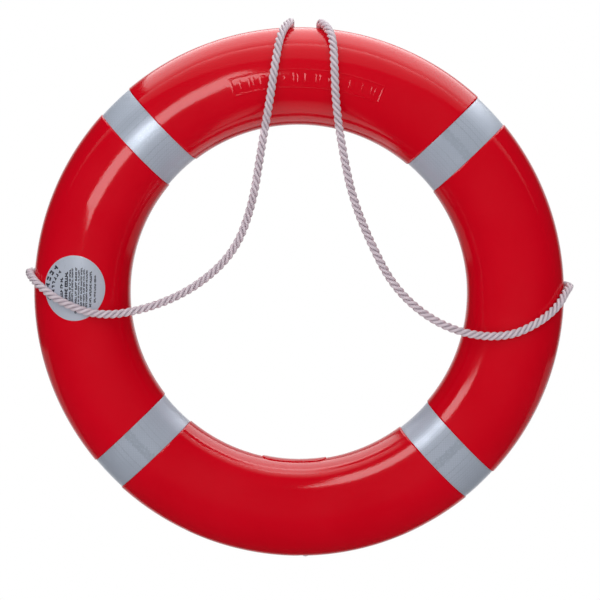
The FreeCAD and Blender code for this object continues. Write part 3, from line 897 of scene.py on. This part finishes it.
def on_front(x, z, rise):
    """Point on the ring's front above x, z, raised along the section's normal."""
    radius = np.hypot(x, z)
    t = np.arccos(np.clip((radius - MID_RADIUS) / HALF_WIDTH, -1, 1))
    raised, back = section_point(t, rise)
    return np.stack([x * raised / radius, back, z * raised / radius], axis=-1)


def disc_mesh(name, material):
    """Thin round film following the ring's front, closed underneath."""
    reach = np.array([0.0, 0.1, 0.2, 0.3, 0.4, 0.5, 0.6, 0.7, 0.8, 0.88, 0.95, 0.985, 0.996, 1.0, 1.0])
    rise = np.full(len(reach), STICKER_THICK)
    rise[-3:] = (STICKER_THICK - 0.04, STICKER_THICK - 0.16, -0.05)
    reach = np.concatenate([reach, reach[-2::-1]])
    rise = np.concatenate([rise, np.full(len(reach) - len(rise), -0.05)])
    turn = np.linspace(0, FULL_TURN, 120, endpoint=False)
    x = STICKER_X + STICKER_HALF_ACROSS * reach[None, :] * np.cos(turn)[:, None]
    z = STICKER_Z + STICKER_HALF_HEIGHT * reach[None, :] * np.sin(turn)[:, None]
    verts = on_front(x, z, rise[None, :]).reshape(-1, 3)
    faces = loop_faces(len(turn), len(reach))
    return weld(close_mesh(name, verts, faces, material))


def box_marks(name, marks, lift, material):
    """Small thin boxes on the ring's front; a mark is centre x, z, half length, half width, angle."""
    verts = []
    faces = []
    for x, z, half_length, half_width, angle in marks:
        along = np.array((math.cos(angle), math.sin(angle)))
        across = np.array((-along[1], along[0]))
        corners = np.array([np.array((x, z)) + along * a * half_length + across * b * half_width
                            for a, b in ((-1, -1), (1, -1), (1, 1), (-1, 1))])
        first = len(verts)
        for rise in (lift, lift - MARK_THICK):
            verts.extend(on_front(corners[:, 0], corners[:, 1], rise))
        faces.append([first, first + 1, first + 2, first + 3])
        faces.append([first + 7, first + 6, first + 5, first + 4])
        for k in range(4):
            n = (k + 1) % 4
            faces.append([first + k, first + 4 + k, first + 4 + n, first + n])
    obj = close_mesh(name, verts, faces, material)
    obj.data.polygons.foreach_set("use_smooth", [False] * len(obj.data.polygons))
    return obj


# Curved rows: distance from the sticker's middle, first and last angle, spacing, half a letter's height
CURVED_ROWS = [(36.6, 134, 214, 9.0, 2.7), (28.8, 134, 206, 5.6, 1.9)]
# Upright columns of words: across, lowest and highest point, half a letter's height
WORD_COLUMNS = [
    (-17.0, -14, 12, 1.75), (-10.6, -18, 20, 1.95), (-5.6, -26, 24, 1.2), (-2.2, -25, 26, 1.1),
    (2.6, -29, 27, 1.2), (6.3, -26, 24, 1.0), (9.8, -30, 27, 1.1), (13.3, -27, 25, 1.0),
    (16.9, -26, 24, 1.1), (22.0, -25, 22, 1.3), (27.8, -19, 17, 1.1),
]
# Where the short bars stand on each kind of made-up letter, as shares of half its height
BAR_PLACES = [(-0.7,), (0.7,), (-0.7, 0.7), (0.0,)]


def letter_strokes(x, z, half, turn, kind):
    """Strokes of one made-up letter: an upright and one or two short bars beside it."""
    along = np.array((math.cos(turn), math.sin(turn)))
    across = np.array((-along[1], along[0]))
    strokes = [(0.0, -0.5, 1.0, 0.42)]
    for forward in BAR_PLACES[kind]:
        strokes.append((forward, 0.2, 0.38, 0.72))
    marks = []
    for forward, sideways, half_length, half_width in strokes:
        spot = np.array((x, z)) + half * (forward * along + sideways * across)
        marks.append((spot[0], spot[1], half * half_length, half * half_width, turn))
    return marks


def sticker_marks():
    """Letter-sized marks: two curved rows at the left and upright columns of words."""
    random = np.random.default_rng(7)
    marks = []
    for radius, first, last, pitch, half in CURVED_ROWS:
        for angle in np.arange(first, last, math.degrees(pitch / radius)):
            turn = math.radians(angle)
            x = STICKER_X + radius * math.cos(turn)
            z = STICKER_Z + radius * math.sin(turn)
            marks.extend(letter_strokes(x, z, half, turn, random.integers(0, len(BAR_PLACES))))
    for offset, low, high, half in WORD_COLUMNS:
        z = high
        while z > low:
            for _ in range(random.integers(2, 8)):
                kind = random.integers(0, len(BAR_PLACES))
                marks.extend(letter_strokes(STICKER_X + offset, STICKER_Z + z, half, 0.0, kind))
                z -= 1.75 * half
            z -= 1.2 * half
    return marks


sticker = disc_mesh("sticker", FILM)
sticker_print = box_marks("sticker_print", sticker_marks(), STICKER_THICK + MARK_PROUD, INK)

# ---------------------------------------------------------------------------
# Cover of the foam filling port, on the throat at the bottom
# ---------------------------------------------------------------------------
CAP_HALF_RUN = 32.5
CAP_HALF_WIDTH = 11.0
CAP_PROUD = 1.5


def on_throat(x, y, rise):
    """Point on the bottom of the hole at x and y, raised off the skin."""
    t = math.pi - np.arcsin(np.clip(-y / HALF_DEPTH, -1, 1))
    radius, back = section_point(t, rise)
    return np.stack([x, back, -np.sqrt(radius ** 2 - x ** 2)], axis=-1)


def filler_cap_mesh():
    """Thin plate with rounded ends and edges, following the throat of the hole."""
    reach = np.array([0.0, 0.25, 0.5, 0.75, 0.88, 0.94, 0.97, 0.99, 1.0, 1.0])
    rise = np.array([0, 0, 0, 0, 0, -0.06, -0.2, -0.45, -0.9, -CAP_PROUD - 0.2]) + CAP_PROUD
    reach = np.concatenate([reach, reach[-2:0:-1]])
    rise = np.concatenate([rise, np.full(len(reach) - len(rise), -0.2)])
    turn = np.linspace(-math.pi / 2, math.pi / 2, 33)
    straight = np.linspace(CAP_HALF_RUN, -CAP_HALF_RUN, 27)[1:-1]
    right = [(CAP_HALF_RUN, math.cos(a), math.sin(a)) for a in turn]
    top = [(x, 0.0, 1.0) for x in straight]
    left = [(-CAP_HALF_RUN, -math.cos(a), -math.sin(a)) for a in turn]
    low = [(-x, 0.0, -1.0) for x in straight]
    rim = np.array(right + top + left + low)
    x = rim[:, :1] + CAP_HALF_WIDTH * rim[:, 1:2] * reach[None, :]
    y = CAP_HALF_WIDTH * rim[:, 2:] * reach[None, :]
    verts = on_throat(x, y, rise[None, :] + 0 * x).reshape(-1, 3)
    return weld(close_mesh("filler_plate", verts, loop_faces(len(rim), len(reach)), RED))


filler_plate = filler_cap_mesh()

# ---------------------------------------------------------------------------
# Ropes and whipping
# ---------------------------------------------------------------------------
ropes = [rope_mesh(name, index, ROPE) for index, (name, _) in enumerate(ROUTES)]
top_rope, left_loop, lower_rope, right_loop = ropes
top_line, left_line, lower_line, right_line = rope_lines

WHIPPING_MIDDLE = on_ring(301.0, 354.0, 41.0)
WHIPPING_LENGTH = 42.0
TWINE_RADIUS = 0.8
TWINE_PITCH = 1.95 * TWINE_RADIUS
TWINE_SEAT = 0.7
TWINE_SIDES = 10
TWINE_YARN_TURNS = 4
STEPS_PER_ROUND = 30


def whipping_mesh():
    """Twine wound tightly round the lapped ends of the line, on the way to the right eye."""
    middle = np.array(WHIPPING_MIDDLE) * MM
    nearest = int(np.argmin(np.linalg.norm(lower_line - middle, axis=1)))
    reach = round(WHIPPING_LENGTH / 2 * MM / ROPE_STEP)
    span = lower_line[nearest - reach:nearest + reach + 1]
    _, sides, ups = carried_frames(span)
    along = np.arange(len(span)) * ROPE_STEP
    rounds = round((WHIPPING_LENGTH - 2 * TWINE_RADIUS) / TWINE_PITCH)
    steps = rounds * STEPS_PER_ROUND
    at = np.linspace(TWINE_RADIUS * MM, along[-1] - TWINE_RADIUS * MM, steps)
    angle = np.linspace(0, rounds * FULL_TURN, steps)
    centre, side, up = (np.stack([np.interp(at, along, values[:, k]) for k in range(3)], axis=1)
                        for values in (span, sides, ups))
    distance = (ROPE_DIAMETER / 2 + TWINE_SEAT) * MM
    line = centre + distance * (np.cos(angle)[:, None] * unit(side) + np.sin(angle)[:, None] * unit(up))
    outward = unit(line - centre)
    binormal = np.cross(unit(np.gradient(line, axis=0)), outward)
    turn = np.linspace(0, FULL_TURN, TWINE_SIDES, endpoint=False)
    around = (np.cos(turn)[None, :, None] * outward[:, None, :]
              + np.sin(turn)[None, :, None] * binormal[:, None, :])
    rings = line[:, None, :] + TWINE_RADIUS * MM * around
    obj = new_object("end_binding", rings.reshape(-1, 3), tube_faces(steps, TWINE_SIDES), TWINE)
    yarn = (turn[None, :] + angle[:, None] * TWINE_YARN_TURNS).reshape(-1)
    # Painted shade: the twine is darker on its side towards the rope, where it lies on it
    store_point_values(obj, np.tile((1 + np.cos(turn)) / 2, steps), yarn)
    return obj


end_binding = whipping_mesh()

# ---------------------------------------------------------------------------
# What each piece stands for, and what it moves with
# ---------------------------------------------------------------------------
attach(front_shell, "ring")
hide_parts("front_shell")
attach(rear_shell, "ring")
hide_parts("rear_shell")
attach(filler_plate, "ring")
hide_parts("filler_cap")
for node_name, piece in tapes.items():
    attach(piece, "ring")
    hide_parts(node_name)
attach(sticker, "ring")
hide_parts("approval_sticker")
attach(sticker_print, "ring")
foam_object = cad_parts["foam_core"]
foam_object.data.materials.clear()
foam_object.data.materials.append(FOAM)

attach(lower_rope, "ring")
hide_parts("left_eye_rope", "lower_left_span", "bottom_eye_rope", "lower_right_span",
            "right_eye_rope")
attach(top_rope, "ring")
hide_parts("top_eye_rope")
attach(end_binding, "ring")
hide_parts("end_whipping")


def hang_loop(piece, node):
    """Bakes a loop's placement into its points and hides the CAD part it stands for."""
    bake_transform(piece)
    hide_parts(node)


hang_loop(left_loop, "upper_left_loop")
hang_loop(right_loop, "upper_right_loop")

# ---------------------------------------------------------------------------
# Studio: pale floor below the frame, soft lamps and white surroundings
# ---------------------------------------------------------------------------
FLOOR_HEIGHT = -0.62
floor_mesh = bpy.data.meshes.new("studio_floor")
floor_corners = [(x, y, FLOOR_HEIGHT) for x, y in ((-2.0, -1.0), (2.0, -1.0), (2.0, 0.6), (-2.0, 0.6))]
floor_mesh.from_pydata(floor_corners, [], [(0, 1, 2, 3)])
floor_mesh.materials.append(Paint("studio_floor", (0.8, 0.8, 0.8), 0.7, 0.2).mat)
floor = bpy.data.objects.new("studio_floor", floor_mesh)
scene.collection.objects.link(floor)
floor.visible_glossy = False


def soft_box(name, location, turn, size, radiance, glossy=True, fade=None):
    """Rectangular lamp, shining down when unturned: seen only in reflections, or only a soft light.

    A fade is two places along its own Y, from 0 to 1, and its brightness at each.
    """
    data = bpy.data.lights.new(name, "AREA")
    data.shape = "RECTANGLE"
    data.size, data.size_y = size
    data.energy = radiance * math.pi * size[0] * size[1]
    lamp = bpy.data.objects.new(name, data)
    scene.collection.objects.link(lamp)
    lamp.location = location
    lamp.rotation_euler = turn
    lamp.visible_camera = False
    lamp.visible_glossy = glossy
    lamp.visible_diffuse = not glossy
    if fade is not None:
        data.use_nodes = True
        nodes = data.node_tree.nodes
        links = data.node_tree.links
        place = nodes.new("ShaderNodeSeparateXYZ")
        ramp = new_ramp(nodes, fade)
        links.new(nodes.new("ShaderNodeNewGeometry").outputs["Parametric"], place.inputs["Vector"])
        links.new(place.outputs["Y"], ramp.inputs["Value"])
        links.new(ramp.outputs["Result"], nodes["Emission"].inputs["Strength"])


DOWN = (0.0, 0.0, 0.0)
UP = (math.pi, 0.0, 0.0)
# Overhead light, and its reflection, which fades towards the front
soft_box("overhead", (0.15, 0.7, 1.9), DOWN, (3.6, 1.8), 1.7, glossy=False)
soft_box("overhead_sheen", (0.15, 0.97, 1.88), DOWN, (3.6, 3.44), 3.3, fade=(0.0, 0.22, 0.0, 1.0))
soft_box("front_sheen", (0.1, -0.51, 1.58), (math.radians(105.0), 0.0, 0.0), (2.8, 2.4), 1.0,
         fade=(0.0, 1.0, 0.4, 5.0))
# Small lamps in and below the hole light its edge without showing elsewhere
soft_box("hole_top", (0.0, 0.0, 0.222), DOWN, (0.36, 0.16), 3.6)
soft_box("low_back", (0.0, 0.165, -0.25), UP, (0.3, 0.37), 1.3)
soft_box("low_front", (0.0, -0.453, -0.5), (math.radians(210.0), 0.0, 0.0), (0.3, 1.0), 1.0,
         fade=(0.0, 1.0, 1.3, 0.05))
# Pale ground to the left and right, seen in the lower rim
for side in (-1.0, 1.0):
    soft_box("low_board", (side * 1.25, 1.15, -0.7), UP, (1.9, 1.55), 0.32)

# One long lamp close by gives the bright streaks at the upper left and the lower right
STREAK_PLACE = Vector((-0.25, -0.5, 0.25))
streak_out = -Vector((0.6, 0.53, -0.6)).normalized()
streak_long = Vector((1.0, 0.0, 1.0)).normalized()
streak_turn = Matrix((streak_long, streak_out.cross(streak_long), streak_out)).transposed().to_euler()
soft_box("streak", STREAK_PLACE, streak_turn, (0.42, 0.24), 6.8)

# Surroundings: white to the camera, a wide soft fill from the front that leaves no
# reflection, and reflections that are dark in front and white straight behind
world = bpy.data.worlds.new("studio")
scene.world = world
world.use_nodes = True
world.cycles.sampling_method = "NONE"
world_nodes = world.node_tree.nodes
world_links = world.node_tree.links
background = world_nodes["Background"]
path = world_nodes.new("ShaderNodeLightPath")
direction = world_nodes.new("ShaderNodeTexCoord")


def strength_towards(axis, *ramp_ends):
    """Brightness as a direction turns towards an axis: from and to on the axis, and the value at each."""
    turned = world_nodes.new("ShaderNodeVectorMath")
    turned.operation = "DOT_PRODUCT"
    turned.inputs[1].default_value = Vector(axis).normalized()
    world_links.new(direction.outputs["Generated"], turned.inputs[0])
    ramp = new_ramp(world_nodes, ramp_ends)
    world_links.new(turned.outputs["Value"], ramp.inputs["Value"])
    return ramp.outputs["Result"]


def choose(switch, when_off, when_on):
    """One of two brightnesses, by the kind of ray."""
    picked = world_nodes.new("ShaderNodeMix")
    world_links.new(switch, picked.inputs["Factor"])
    for name, value in (("A", when_off), ("B", when_on)):
        if isinstance(value, float):
            picked.inputs[name].default_value = value
        else:
            world_links.new(value, picked.inputs[name])
    return picked.outputs["Result"]


reflected = strength_towards((0.0, 1.0, 0.0), 0.68, 0.95, 0.04, 1.0)
fill = strength_towards((-0.07, -0.95, 0.22), 0.3, 1.0, 0.0, 1.26)
brightness = choose(path.outputs["Is Diffuse Ray"], reflected, fill)
world_links.new(choose(path.outputs["Is Camera Ray"], brightness, 1.0), background.inputs["Strength"])
background.inputs["Color"].default_value = (1.0, 1.0, 1.0, 1.0)
scene.view_settings.view_transform = "Standard"
